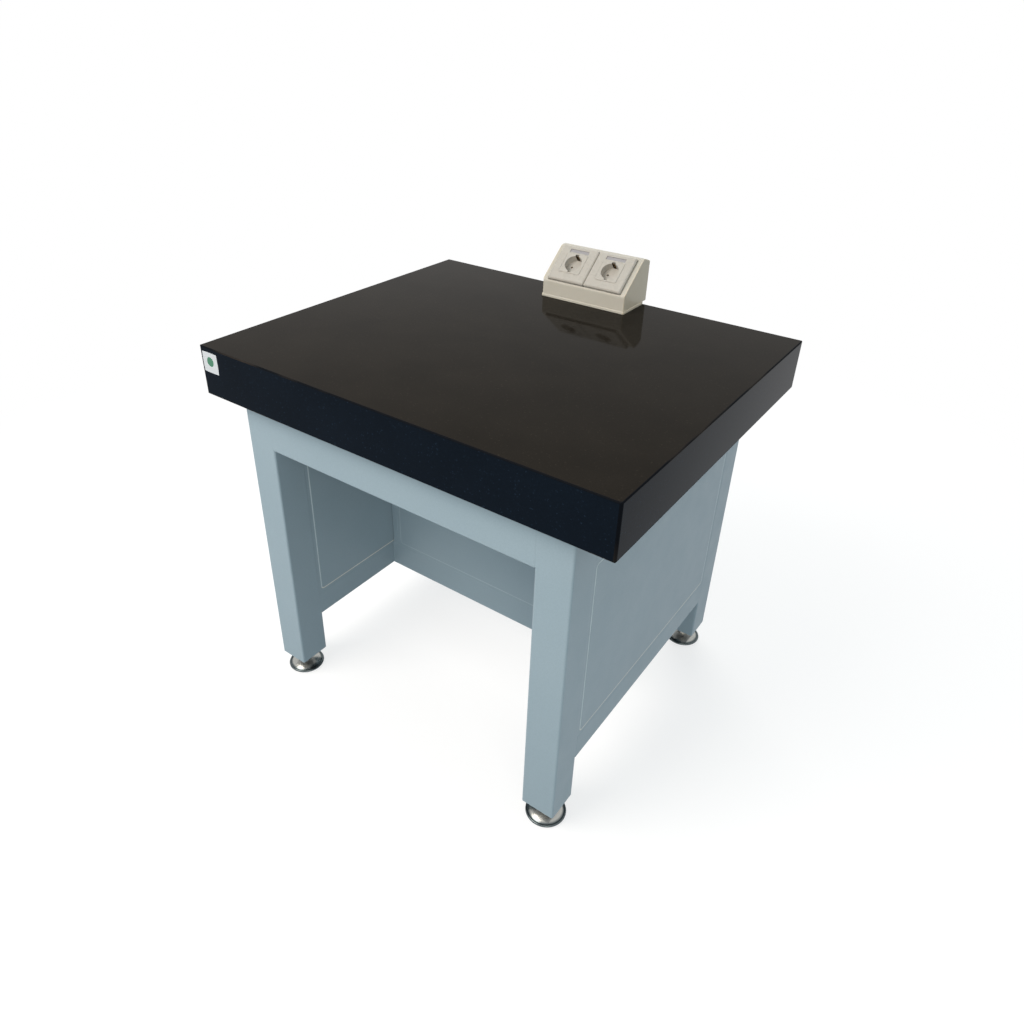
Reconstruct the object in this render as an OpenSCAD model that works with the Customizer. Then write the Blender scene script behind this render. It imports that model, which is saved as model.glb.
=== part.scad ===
// Weighing balance table: a polished stone slab on a welded tube frame with flush
// sheet panels, four levelling feet and a sloping twin socket box on the slab.
// Millimetres, +Z up, +X to the right, the user stands at -Y. Origin: on the floor,
// under the middle of the whole outline.

/* [Table] */
// Height of the slab's top above the floor
table_h = 790; // [740:1:900]

/* [Slab] */
// Width of the slab
slab_w = 900; // [760:5:1500]
// Depth of the slab
slab_d = 750; // [620:5:900]
// Thickness of the slab
slab_t = 100; // [60:1:120]
// Radius of the slab's upright corners
slab_corner_r = 5; // [2:0.5:12]
// Width of the ground arris along the slab's edges
slab_arris = 1.6; // [0.5:0.1:4]
// How far the slab stands out past the frame at the left and right
side_overhang = 77; // [20:1:100]
// How far the slab stands out past the frame at the front and rear
end_overhang = 26; // [10:1:60]

/* [Frame] */
// Outer size of the square leg tube
leg_size = 70; // [60:1:80]
// Wall of the leg tube
leg_wall = 3; // [2:0.5:5]
// Outer corner radius of every tube
tube_r = 4; // [3:0.5:6]
// Wall of the apron and rail tubes
rail_wall = 2.5; // [2:0.5:4]
// Height of the aprons and the top rails
apron_h = 80; // [60:1:100]
// Depth of the aprons from front to rear
apron_d = 40; // [30:1:50]
// Height of the lower side rails
low_rail_h = 60; // [50:1:80]
// Height of the lower side rails' underside above the floor
low_rail_lift = 143; // [110:1:240]
// Height of the legs' lower ends above the floor
leg_lift = 41; // [38:0.5:60]
// How far a weld ground down by hand lies below the tubes' faces
weld_dip = 0.15; // [0.1:0.05:0.5]
// Thickness of the plate that closes a leg's upper end
top_plate_t = 6; // [4:0.5:10]

/* [Middle panel] */
// Distance from the frame's front to the middle panel's front
mid_setback = 313; // [240:1:400]
// Depth of the middle panel's tubes from front to rear
mid_d = 40; // [30:1:60]
// Height of the middle panel's lower rail
mid_rail_h = 65; // [50:1:80]
// Width of the middle panel's uprights
upright_w = 20; // [15:1:40]

/* [Panels] */
// Thickness of the flat bar round each panel opening
stop_w = 5; // [3:0.5:10]
// How far the flat bar lies below the tubes' faces
stop_dip = 0.4; // [0.2:0.1:1]
// Width of the light sealing bead round each panel
bead_w = 2.8; // [1.5:0.1:4]
// Depth of the sealing bead
bead_d = 4; // [2:0.5:8]
// How far the bead lies below the panels' faces
bead_dip = 0.3; // [0.1:0.1:0.8]
// Thickness of the panel sheet
sheet_t = 1.5; // [1:0.1:3]
// Depth of the folded edge behind each panel
fold_d = 15; // [8:0.5:18]
// Radius of the panels' corners
panel_r = 6; // [3:0.5:15]

/* [Damping pads] */
// Height of the rubber pads under the slab
pad_t = 13; // [8:0.5:25]
// Radius of a pad
pad_r = 30; // [20:1:34]
// Depth of the grooves round a pad
pad_groove = 2; // [1:0.5:4]

/* [Levelling feet] */
// Radius of a foot's disc
foot_r = 40; // [30:1:45]
// Radius of the disc's rolled rim
rim_r = 2.75; // [2:0.25:4]
// Radius of the hub in the middle of the disc
hub_r = 13; // [12:0.5:16]
// Height of the hub's top above the floor
hub_top = 17; // [15:0.5:20]
// How far the rubber sole stands out under the disc
sole_out = 1; // [0.5:0.25:2]
// Thickness of the rubber sole
sole_t = 3; // [2:0.25:4]
// Radius of the threaded stud
stud_r = 8; // [6:0.5:10]
// Radial clearance of the stud in its threads and in the hub
stud_gap = 0.06; // [0.03:0.01:0.09]
// How far the thread moves the foot in one turn
thread_pitch = 2; // [1:0.25:3]
// Size of the hexagons across their flats
hex_af = 24; // [22:1:27]
// Height of the stud's hexagon
stud_hex_h = 7; // [5:0.5:8]
// Height of the lock nut
lock_nut_h = 7; // [5:0.5:8]
// Height of the threaded bush in the leg
bush_h = 30; // [20:1:50]
// Outer radius of the threaded bush
bush_r = 15; // [13:0.5:20]
// Thickness of the plate that holds the bush
foot_plate_t = 8; // [5:0.5:12]
// Length of stud above the bush when the table stands as shown
stud_spare = 30; // [26:1:60]

/* [Socket box] */
// Distance of the box's middle to the right of the slab's middle
box_x = -5.5; // [-200:1:200]
// Width of the box's base flange
box_w = 208; // [204:1:240]
// Depth of the box's base flange, which ends at the slab's rear edge
box_d = 92; // [90:1:100]
// How far the housing stands out past the slab's rear edge, so that its cable drops behind it
box_out = 16; // [14:0.5:20]
// Thickness of the base flange
flange_t = 5; // [4:0.5:8]
// How far the flange stands out past the housing
flange_lip = 2; // [1:0.25:4]
// Height at which the front wall's plane meets the slope
front_wall_h = 38.25; // [34:0.25:41]
// Angle of the slope to the slab
slope_tilt = 40.2; // [38:0.1:42]
// Wall of the housing
box_wall = 2.5; // [2:0.25:4]
// Height of the rim on the flange that centres the housing
locating_h = 6; // [4:0.5:10]
// Radius of the bend between the front wall and the slope
bend_r = 11; // [6:0.5:12]
// Radius of the housing's crest between the slope and the back
crest_r = 20; // [12:0.5:22]
// Angle at which the back falls from the crest to the rear wall
back_tilt = 20; // [15:1:30]
// Height at which the back meets the rear wall's plane
back_h = 92; // [88:0.5:96]
// Radius between the back and the rear wall
back_r = 7; // [4:0.5:10]
// Radius of the housing's side edges
side_r = 3; // [1.5:0.25:5]
// Distance up the slope from the bend to the middle of the cover plates
slope_mid = 46.5; // [46.3:0.1:48]

/* [Sockets] */
// Width and height of a cover plate
cover_w = 89.5; // [86:0.5:90]
// Space between the two cover plates
cover_gap = 1.2; // [0.8:0.1:3]
// Groove between the cover plates and the housing
pocket_gap = 0.6; // [0.4:0.1:0.9]
// Depth of the pocket that holds the cover plates
pocket_d = 6; // [5:0.25:8]
// How far the cover plates stand out of the slope
cover_rise = 7.5; // [5:0.1:9]
// Width of the bevel round a cover plate
cover_bevel = 2.4; // [1:0.1:3]
// Thickness of the metal frame under a cover plate
carrier_t = 1.5; // [1:0.1:2]
// Width and height of a socket insert
insert_w = 52; // [51:0.5:54]
// Radius of an insert's corners
insert_r = 5; // [2:0.5:8]
// How far a socket insert stands out of its cover plate
insert_rise = 1; // [0.3:0.1:1.5]
// How far the insert's middle lies above the cover plate's middle
insert_up = 0.6; // [0:0.1:1.5]
// Radius of the round recess that takes a plug
recess_r = 19.5; // [19:0.05:20]
// Depth of the plug recess
recess_d = 17.5; // [15:0.25:19]
// Wall between the recess and the back of the insert
cup_wall = 3; // [2.5:0.25:3.5]
// Floor of the plug recess
cup_floor = 2.5; // [2:0.25:4]
// Distance between the two pin holes
pin_pitch = 19; // [18:0.1:20]
// Radius of the contact tubes' bores
pin_r = 2.5; // [2.4:0.05:2.8]
// Length of a contact tube
contact_l = 14; // [10:0.5:20]
// Width of an earth clip
clip_w = 5; // [4:0.25:6]
// Width of the slot that holds an earth clip
clip_slot_w = 8; // [6.2:0.2:9]
// Width of the label strip above a socket
label_w = 47; // [40:0.5:60]
// Height of the label strip
label_h = 8.5; // [6:0.25:9]
// Distance from the label strip to the cover plate's upper edge
label_margin = 8; // [7:0.1:8.2]

/* [Hidden] */

paint = [0.60, 0.69, 0.73];
stone = [0.09, 0.09, 0.10];
beige = [0.80, 0.77, 0.70];
bead_white = [0.84, 0.86, 0.82];
black_rubber = [0.10, 0.10, 0.11];
nickel = [0.72, 0.72, 0.70];
zinc = [0.62, 0.64, 0.66];
brass = [0.72, 0.56, 0.28];

$fn = 64;
// Run-past of every cut
over = 1;
// Gap between pieces that are assembled by hand
fit = 0.3;

// Frame
frame_w = slab_w - 2 * side_overhang;
frame_d = slab_d - 2 * end_overhang;
frame_top = table_h - slab_t - pad_t;
leg_x = (frame_w - leg_size) / 2;
leg_y = (frame_d - leg_size) / 2;
bay_w = frame_w - 2 * leg_size;
bay_d = frame_d - 2 * leg_size;
apron_low = frame_top - apron_h;
low_rail_top = low_rail_lift + low_rail_h;
mid_low_top = low_rail_lift + mid_rail_h;
mid_front = mid_setback - frame_d / 2;

// Feet
disc_low = sole_out;
rim_top = disc_low + 2 * rim_r;
dome_r = foot_r - 1.5 * rim_r;
dome_low = disc_low + 1.5 * rim_r;
dome_high = hub_top - rim_r;
spigot_r = 0.75 * stud_r;
rivet_r = 1.2 * stud_r;
rivet_low = sole_t + 2 * fit;
rivet_seat = sole_t + disc_low + rim_r;
sole_r = foot_r - 2 * rim_r;
hex_r = hex_af / sqrt(3);
hex_chamfer = hex_r - hex_af / 2;
bush_top = leg_lift + foot_plate_t + bush_h;
stud_top = bush_top + stud_spare;

// Socket box
box_front = slab_d / 2 - box_d;
housing_w = box_w - 2 * flange_lip;
housing_front = flange_lip;
housing_rear = box_d + box_out;
crest_y = (back_h - front_wall_h + housing_rear * tan(back_tilt) + housing_front * tan(slope_tilt))
    / (tan(slope_tilt) + tan(back_tilt));
crest_z = front_wall_h + (crest_y - housing_front) * tan(slope_tilt);
box_h = corner_in([housing_rear, back_h], [crest_y, crest_z], [housing_front, front_wall_h], crest_r)[1]
    + crest_r;
cover_u = (cover_w + cover_gap) / 2;
pocket_w = 2 * cover_w + cover_gap + 2 * pocket_gap;
pocket_h = cover_w + 2 * pocket_gap;
pocket_floor = box_wall;
cup_r = recess_r + cup_wall;
insert_top = cover_rise + insert_rise;
cup_low = insert_top - recess_d - cup_floor;
clip_slot_d = cup_wall + 2 * fit;
clip_t = cup_wall / 4;
label_v = cover_w / 2 - label_margin - label_h / 2;
label_d = 2 * carrier_t;
card_t = label_d / 8;
screw_r = 0.8 * box_wall;
screw_head_r = 2 * screw_r;
plug_r = 2 * screw_r;
plug_l = slab_t / 4;
screw_u = housing_w / 2 - 4 * flange_t;
screw_v = box_d - flange_lip - 4 * flange_t;
grommet_r = 4 * box_wall;
cable_r = 0.45 * grommet_r;
grommet_z = flange_t + locating_h + 2 * grommet_r;

// A rectangle centred on the origin with round corners
module round_rect(w, h, r) {
    square([w - 2 * r, h], center = true);
    square([w, h - 2 * r], center = true);
    if (r > 0)
        for (x = [-1, 1], y = [-1, 1])
            translate([x * (w / 2 - r), y * (h / 2 - r)]) circle(r);
}

// Direction from one point to another
function toward(a, b) = (b - a) / norm(b - a);
// Half of the angle at corner b of the path a, b, c
function half_angle(a, b, c) = acos(toward(b, a) * toward(b, c)) / 2;
// Point inside corner b that is d away from both of its edges
function corner_in(a, b, c, d) =
    b + (toward(b, a) + toward(b, c)) / norm(toward(b, a) + toward(b, c)) * d / sin(half_angle(a, b, c));
// The outline moved inward by d
function inset(p, d) = [for (i = [0 : len(p) - 1])
    corner_in(p[(i + len(p) - 1) % len(p)], p[i], p[(i + 1) % len(p)], d)];

// A convex outline whose corners are true arcs of the given radii
module round_outline(p, r) {
    n = len(p);
    polygon([for (i = [0 : n - 1])
        let (a = p[(i + n - 1) % n], b = p[i], c = p[(i + 1) % n], t = r[i] / tan(half_angle(a, b, c)))
        each (r[i] > 0 ? [b + toward(b, a) * t, b + toward(b, c) * t] : [b])]);
    for (i = [0 : n - 1])
        if (r[i] > 0)
            translate(corner_in(p[(i + n - 1) % n], p[i], p[(i + 1) % n], r[i])) circle(r[i]);
}

// Extrusions with the drawing standing upright: seen from the right, and seen from the front
module along_x(l) { rotate([90, 0, 90]) linear_extrude(l, center = true) children(); }
module along_y(l) { rotate([90, 0, 0]) linear_extrude(l, center = true) children(); }

// Section of a block with bevelled edges
module bevelled_section(w, t, top, low) {
    polygon([[low - w / 2, 0], [w / 2 - low, 0], [w / 2, low], [w / 2, t - top],
        [w / 2 - top, t], [top - w / 2, t], [-w / 2, t - top], [-w / 2, low]]);
}

// A block on the plane z = 0 with round upright corners and bevelled upper and lower edges
module bevelled_block(w, d, t, r, top, low) {
    intersection() {
        linear_extrude(t) round_rect(w, d, r);
        along_x(w + over) bevelled_section(d, t, top, low);
        along_y(d + over) bevelled_section(w, t, top, low);
    }
}

// A hexagon whose corners are turned off at both ends, with its lower face at z = 0
module hexagon(h) {
    intersection() {
        rotate(30) cylinder(h = h, r = hex_r, $fn = 6);
        rotate_extrude() polygon([[0, 0], [hex_af / 2, 0], [hex_r, hex_chamfer / 2],
            [hex_r, h - hex_chamfer / 2], [hex_af / 2, h], [0, h]]);
    }
}

// Copies at the four legs
module at_legs() {
    for (x = [-1, 1], y = [-1, 1]) translate([x * leg_x, y * leg_y, 0]) children();
}

// The right-hand piece as drawn, or mirrored to the left
module on_side(s) {
    if (s > 0) children();
    else mirror([1, 0, 0]) children();
}

// Slab
module granite_slab() {
    color(stone)
    difference() {
        translate([0, 0, table_h - slab_t])
            bevelled_block(slab_w, slab_d, slab_t, slab_corner_r, slab_arris, slab_arris);
        at_box_screws() translate([0, 0, -plug_l]) cylinder(h = plug_l + over, r = plug_r);
    }
}

// Frame
module leg_outline() { round_rect(leg_size, leg_size, tube_r); }

module leg(x, y) {
    color(paint)
    translate([x * leg_x, y * leg_y, leg_lift])
        linear_extrude(frame_top - top_plate_t - leg_lift)
            difference() {
                leg_outline();
                round_rect(leg_size - 2 * leg_wall, leg_size - 2 * leg_wall, max(tube_r - leg_wall, 0));
            }
}

module tube_section(w, h) {
    difference() {
        round_rect(w, h, tube_r);
        round_rect(w - 2 * rail_wall, h - 2 * rail_wall, max(tube_r - rail_wall, 0));
    }
}

// Weld metal in the hollow between a leg's round corner and a tube that ends on the leg.
// The corner lies at the origin, the leg towards -X and -Y, the tube's face at y = 0.
module weld_fill(h) {
    linear_extrude(h, center = true)
        difference() {
            translate([-tube_r, -rail_wall]) square([tube_r, rail_wall - weld_dip]);
            translate([-tube_r, -tube_r]) circle(tube_r);
        }
}

module apron(y) {
    color(paint)
    translate([0, 0, apron_low + apron_h / 2])
        scale([1, y, 1]) {
            translate([0, (frame_d - apron_d) / 2, 0]) along_x(bay_w) tube_section(apron_d, apron_h);
            for (x = [-1, 1])
                scale([-x, 1, 1]) translate([-bay_w / 2, frame_d / 2, 0]) weld_fill(apron_h - 2 * tube_r);
        }
}

// A side rail that fills the depth of the legs, on the right, with its middle at height z
module side_rail(h, z) {
    color(paint)
    translate([leg_x, 0, z]) {
        along_y(bay_d) tube_section(leg_size, h);
        for (x = [0, 1], y = [0, 1])
            mirror([x, 0, 0]) mirror([0, y, 0])
                translate([leg_size / 2, -bay_d / 2, 0]) mirror([1, -1, 0]) weld_fill(h - 2 * tube_r);
    }
}

module top_rail(s) { on_side(s) side_rail(apron_h, frame_top - apron_h / 2); }
module low_rail(s) { on_side(s) side_rail(low_rail_h, low_rail_lift + low_rail_h / 2); }

module middle_rail(h, z) {
    color(paint)
    translate([0, mid_front + mid_d / 2, z + h / 2]) along_x(bay_w) tube_section(mid_d, h);
}

module middle_uprights() {
    color(paint)
    for (x = [-1, 1])
        translate([x * (bay_w - upright_w) / 2, mid_front + mid_d / 2, mid_low_top])
            linear_extrude(apron_low - mid_low_top) tube_section(upright_w, mid_d);
}

module leg_top_plates() {
    color(paint) at_legs()
        translate([0, 0, frame_top - top_plate_t]) linear_extrude(top_plate_t) leg_outline();
}

module leg_foot_plates() {
    color(zinc) at_legs() translate([0, 0, leg_lift])
        difference() {
            union() {
                linear_extrude(foot_plate_t)
                    round_rect(leg_size - 2 * leg_wall, leg_size - 2 * leg_wall, tube_r);
                translate([0, 0, foot_plate_t]) cylinder(h = bush_h, r = bush_r);
            }
            translate([0, 0, -over]) cylinder(h = bush_h + foot_plate_t + 2 * over, r = stud_r + stud_gap);
        }
}

// Panels. The side openings lie between the legs and the rails, the middle one between the
// uprights and the middle rails. Each is lined with flat bar and closed by a tray on each side,
// with a light bead between the bar and the tray.
side_open = [bay_d, apron_low - low_rail_top];
mid_open = [bay_w - 2 * upright_w, apron_low - mid_low_top];

module panel_outline(open, less) {
    round_rect(open[0] - 2 * less, open[1] - 2 * less, max(panel_r + stop_w + bead_w - less, 0));
}

// Flat bar round an opening, drawn in the opening's plane, with a depth of d
module stop_bar(open, d) {
    linear_extrude(d - 2 * stop_dip, center = true)
        difference() {
            square(open, center = true);
            panel_outline(open, stop_w);
        }
}

// Weld runs in the hollows between the bar and the tubes' round corners, on both faces.
// The runs along the rails are run[0] long and those along the uprights run[1].
module stop_weld(open, d, run) {
    for (side = [0, 1], turn = [0, 1], end = [0, 1])
        mirror([0, 0, side]) rotate(90 * turn) mirror([0, end, 0])
            translate([0, open[1 - turn] / 2, d / 2]) along_x(run[turn])
                difference() {
                    translate([0, -rail_wall]) square([tube_r, rail_wall - stop_dip]);
                    translate([tube_r, -tube_r]) circle(tube_r);
                }
}

module stop_frame(open, d, run) {
    color(paint) {
        stop_bar(open, d);
        stop_weld(open, d, run);
    }
}

module panel_tray(open, d) {
    less = stop_w + bead_w;
    translate([0, 0, d / 2 - fold_d])
        difference() {
            linear_extrude(fold_d) panel_outline(open, less);
            translate([0, 0, -over])
                linear_extrude(fold_d - sheet_t + over) panel_outline(open, less + sheet_t);
        }
}

module panel_bead(open, d) {
    translate([0, 0, d / 2 - bead_dip - bead_d])
        linear_extrude(bead_d)
            difference() {
                panel_outline(open, stop_w);
                panel_outline(open, stop_w + bead_w);
            }
}

// Places a panel's drawing in the right side: drawing X to the rear, Y up, its face outward
module in_side() {
    translate([leg_x, 0, (low_rail_top + apron_low) / 2]) rotate([90, 0, 90]) children();
}

// Places a panel's drawing in the middle: its face to the front
module in_middle() {
    translate([0, mid_front + mid_d / 2, (mid_low_top + apron_low) / 2]) rotate([90, 0, 0]) children();
}

module side_stop_frame(s) {
    on_side(s) in_side() stop_frame(side_open, leg_size, [side_open[0], side_open[1] + 2 * tube_r]);
}

module middle_stop_frame() { in_middle() stop_frame(mid_open, mid_d, [bay_w, mid_open[1]]); }

module side_panel(s, side) {
    color(paint) on_side(s) in_side() mirror([0, 0, side]) panel_tray(side_open, leg_size);
}

module middle_panel(side) {
    color(paint) in_middle() mirror([0, 0, side]) panel_tray(mid_open, mid_d);
}

module side_beads(s) {
    color(bead_white) on_side(s) in_side()
        for (side = [0, 1]) mirror([0, 0, side]) panel_bead(side_open, leg_size);
}

module middle_beads() {
    color(bead_white) in_middle()
        for (side = [0, 1]) mirror([0, 0, side]) panel_bead(mid_open, mid_d);
}

// Damping pads: one on each leg and one in the middle of each top rail
module damping_pad() {
    rotate_extrude()
        difference() {
            square([pad_r, pad_t]);
            for (i = [1, 2]) translate([pad_r, i * pad_t / 3]) circle(pad_groove);
        }
}

module damping_pads() {
    color(black_rubber) translate([0, 0, frame_top])
        for (x = [-1, 1], y = [-1, 0, 1]) translate([x * leg_x, y * leg_y, 0]) damping_pad();
}

// Levelling feet
// Height on the axis of the centre of a ball that passes through two points of a section
function ball_z(r1, z1, r2, z2) = (r2 * r2 + z2 * z2 - r1 * r1 - z1 * z1) / (2 * (z2 - z1));

module foot_disc() {
    dome_z = ball_z(dome_r, dome_low, hub_r, dome_high);
    color(nickel)
    rotate_extrude()
        difference() {
            union() {
                translate([foot_r - rim_r, disc_low + rim_r]) circle(rim_r);
                translate([0, disc_low]) square([foot_r - rim_r, rim_r]);
                intersection() {
                    translate([0, dome_z]) circle(norm([dome_r, dome_low - dome_z]), $fn = 160);
                    translate([0, disc_low]) square([dome_r, hub_top]);
                }
                translate([0, disc_low]) square([hub_r, hub_top - disc_low]);
            }
            translate([-over, 0]) square([sole_r + fit + over, sole_t]);
            translate([-over, 0]) square([rivet_r + fit + over, rivet_seat]);
            translate([-over, 0]) square([spigot_r + stud_gap + over, hub_top + over]);
            translate([-2 * foot_r, -foot_r]) square([2 * foot_r, 4 * foot_r]);
        }
}

module foot_sole() {
    color(black_rubber) cylinder(h = sole_t, r = sole_r);
}

module foot_stud() {
    color(zinc) {
        translate([0, 0, hub_top]) hexagon(stud_hex_h);
        rotate_extrude()
            polygon([[0, rivet_low], [rivet_r, rivet_low], [rivet_r, rivet_seat - fit],
                [spigot_r, rivet_seat - fit], [spigot_r, hub_top], [stud_r, hub_top],
                [stud_r, stud_top - thread_pitch], [stud_r - thread_pitch, stud_top], [0, stud_top]]);
    }
}

module lock_nuts() {
    color(zinc) at_legs() translate([0, 0, leg_lift - lock_nut_h])
        difference() {
            hexagon(lock_nut_h);
            translate([0, 0, -over]) cylinder(h = lock_nut_h + 2 * over, r = stud_r + stud_gap);
        }
}

// Socket box. Its own origin: on the slab, at the middle of the flange's front edge.
module in_box() { translate([box_x, box_front, table_h]) children(); }

// Drawing plane of the slope: X to the right, Y up the slope from the cover plates' middle,
// Z outward
module on_slope() {
    translate([0, housing_front, front_wall_h]) rotate([slope_tilt, 0, 0])
        translate([0, slope_mid, 0]) children();
}

module at_covers() { for (x = [-1, 1]) translate([x * cover_u, 0, 0]) children(); }
module at_box_screws() {
    in_box() for (x = [-1, 1], y = [4 * flange_t, screw_v]) translate([x * screw_u, y, 0]) children();
}

// Side view of the housing with sharp corners
function housing_points() = [[housing_front, flange_t], [housing_rear, flange_t], [housing_rear, back_h],
    [crest_y, crest_z], [housing_front, front_wall_h]];

module box_base() {
    color(beige)
    difference() {
        in_box() {
            translate([0, box_d / 2, 0])
                bevelled_block(box_w, box_d, flange_t, side_r + flange_lip, flange_t / 4, 0);
            translate([0, box_d / 2, flange_t]) linear_extrude(locating_h)
                difference() {
                    base_rim_outline(box_wall + fit);
                    base_rim_outline(2 * box_wall + fit);
                }
        }
        at_box_screws() {
            translate([0, 0, -over]) cylinder(h = flange_t + 2 * over, r = screw_r + fit);
            translate([0, 0, flange_t / 2]) cylinder(h = flange_t, r = screw_head_r + fit);
        }
    }
}

module base_rim_outline(less) {
    round_rect(housing_w - 2 * less, box_d - 2 * flange_lip - 2 * less, max(side_r - less, 0));
}

// A long block with round upper edges, its top at the height z and tilted by a about a line at y
module side_rounding(y, z, a) {
    translate([0, y, z]) rotate([a, 0, 0]) along_y(4 * box_h)
        translate([0, -2 * box_h]) round_rect(housing_w, 4 * box_h, side_r);
}

// Outer shape of the housing: the side view, rounded along the side edges of the upright
// walls, of the slope, of the crest and of the back
module housing_form() {
    intersection() {
        along_x(housing_w) round_outline(housing_points(), [0, 0, back_r, crest_r, bend_r]);
        translate([0, (housing_front + housing_rear) / 2, 0]) linear_extrude(2 * box_h)
            round_rect(housing_w, housing_rear - housing_front, side_r);
        side_rounding(housing_front, front_wall_h, slope_tilt);
        side_rounding(crest_y, box_h, 0);
        side_rounding(housing_rear, back_h, -back_tilt);
    }
}

module housing_hollow() {
    along_x(housing_w - 2 * box_wall)
        union() {
            round_outline(inset(housing_points(), box_wall),
                [0, 0, back_r - box_wall, crest_r - box_wall, bend_r - box_wall]);
            translate([housing_front + box_wall, 0])
                square([box_d - 2 * flange_lip - 2 * box_wall, flange_t + 2 * box_wall]);
        }
}

module box_housing() {
    color(beige)
    in_box()
        difference() {
            union() {
                difference() {
                    housing_form();
                    housing_hollow();
                }
                intersection() {
                    housing_form();
                    on_slope() translate([0, 0, -(pocket_d + pocket_floor) / 2])
                        cube([pocket_w + 2 * box_wall, pocket_h + 2 * box_wall, pocket_d + pocket_floor],
                            center = true);
                }
            }
            on_slope() {
                translate([0, 0, over - pocket_d / 2])
                    cube([pocket_w, pocket_h, pocket_d + 2 * over], center = true);
                at_covers() translate([0, insert_up, -pocket_d - pocket_floor - over])
                    cylinder(h = pocket_d + pocket_floor + over, r = cup_r + 2 * fit);
            }
            translate([0, housing_rear + over, grommet_z]) rotate([90, 0, 0])
                cylinder(h = 4 * box_wall, r = grommet_r);
        }
}

module cover_plate(x) {
    color(beige)
    in_box() on_slope() translate([x * cover_u, 0, carrier_t - pocket_d])
        difference() {
            bevelled_block(cover_w, cover_w, pocket_d - carrier_t + cover_rise, cover_bevel, cover_bevel, 0);
            translate([0, insert_up, -over]) linear_extrude(pocket_d + cover_rise + 2 * over)
                round_rect(insert_w + 2 * fit, insert_w + 2 * fit, insert_r + fit);
            translate([-label_w / 2, label_v - label_h / 2, pocket_d - carrier_t + cover_rise - label_d])
                cube([label_w, label_h, label_d + over]);
        }
}

module socket_insert(x) {
    color(beige)
    in_box() on_slope() translate([x * cover_u, insert_up, 0])
        difference() {
            union() {
                translate([0, 0, carrier_t - pocket_d])
                    bevelled_block(insert_w, insert_w, pocket_d - carrier_t + insert_top,
                        insert_r, insert_rise, 0);
                translate([0, 0, cup_low]) cylinder(h = insert_top - cup_low - insert_rise, r = cup_r);
            }
            translate([0, 0, insert_top - recess_d]) cylinder(h = recess_d + over, r = recess_r);
            for (v = [-1, 1])
                translate([0, v * (recess_r + clip_slot_d - recess_r / 2), insert_top - recess_d / 2 + over])
                    cube([clip_slot_w, recess_r, recess_d + 2 * over], center = true);
            for (u = [-1, 1])
                translate([u * pin_pitch / 2, 0, cup_low - over])
                    cylinder(h = cup_floor + 2 * over, r = pin_r);
        }
}

module socket_carriers() {
    color(zinc)
    in_box() on_slope() at_covers() translate([0, 0, -pocket_d])
        difference() {
            linear_extrude(carrier_t) square(cover_w - 4 * cover_bevel, center = true);
            translate([0, insert_up, -over]) cylinder(h = carrier_t + 2 * over, r = cup_r + fit);
        }
}

module contact_tubes() {
    color(brass)
    in_box() on_slope() at_covers() translate([0, insert_up, cup_low - contact_l])
        for (u = [-1, 1]) translate([u * pin_pitch / 2, 0, 0])
            difference() {
                cylinder(h = contact_l, r = 1.4 * pin_r);
                translate([0, 0, -over]) cylinder(h = contact_l + 2 * over, r = pin_r);
            }
}

// Spring clips that touch the plug's edge at the top and bottom of the recess
module earth_clips() {
    color(brass)
    in_box() on_slope() at_covers() translate([0, insert_up, insert_top - recess_d])
        for (v = [0, 1]) mirror([0, v, 0])
            along_x(clip_w)
                polygon([[cup_r, 0], [cup_r, recess_d / 2], [recess_r + 2 * clip_t, 0.8 * recess_d],
                    [recess_r + clip_t, 0.8 * recess_d], [cup_r - clip_t, recess_d / 2],
                    [cup_r - clip_t, 0]]);
}

module label_strip(low, t, less) {
    in_box() on_slope() at_covers()
        translate([0, label_v, cover_rise - label_d + low + t / 2])
            cube([label_w - 2 * less, label_h - 2 * less, t], center = true);
}

module label_cards() { color([0.74, 0.73, 0.80]) label_strip(0, card_t, 0); }
module label_windows() { color([0.80, 0.80, 0.86]) label_strip(card_t, label_d - 2 * card_t, 0); }

module base_screws() {
    color(zinc) at_box_screws() {
        translate([0, 0, flange_t / 2]) cylinder(h = flange_t / 3, r = screw_head_r);
        translate([0, 0, -0.8 * plug_l]) cylinder(h = 0.8 * plug_l + flange_t / 2, r = screw_r);
    }
}

module wall_plugs() {
    color([0.75, 0.75, 0.72]) at_box_screws() translate([0, 0, -plug_l])
        difference() {
            cylinder(h = plug_l, r = plug_r - stud_gap);
            translate([0, 0, -over]) cylinder(h = plug_l + 2 * over, r = screw_r + stud_gap);
        }
}

// Grommet for the cable in the housing's rear wall: two flanges with the wall between them
module cable_grommet() {
    color(black_rubber)
    in_box() translate([0, housing_rear, grommet_z]) rotate([-90, 0, 0])
        rotate_extrude()
            difference() {
                union() {
                    translate([0, -2 * box_wall]) square([grommet_r - fit / 4, 2 * box_wall + flange_lip]);
                    translate([0, -2 * box_wall - fit / 4]) square([grommet_r + box_wall, box_wall]);
                    translate([0, fit / 4]) square([grommet_r + box_wall, flange_lip - fit / 4]);
                }
                translate([-over, -4 * box_wall]) square([cable_r + over, 8 * box_wall]);
            }
}

// The table is drawn about the slab's middle; the box that stands out behind it moves the
// middle of the whole outline
module placed() { translate([0, -(box_out + flange_lip) / 2, 0]) children(); }

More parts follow.
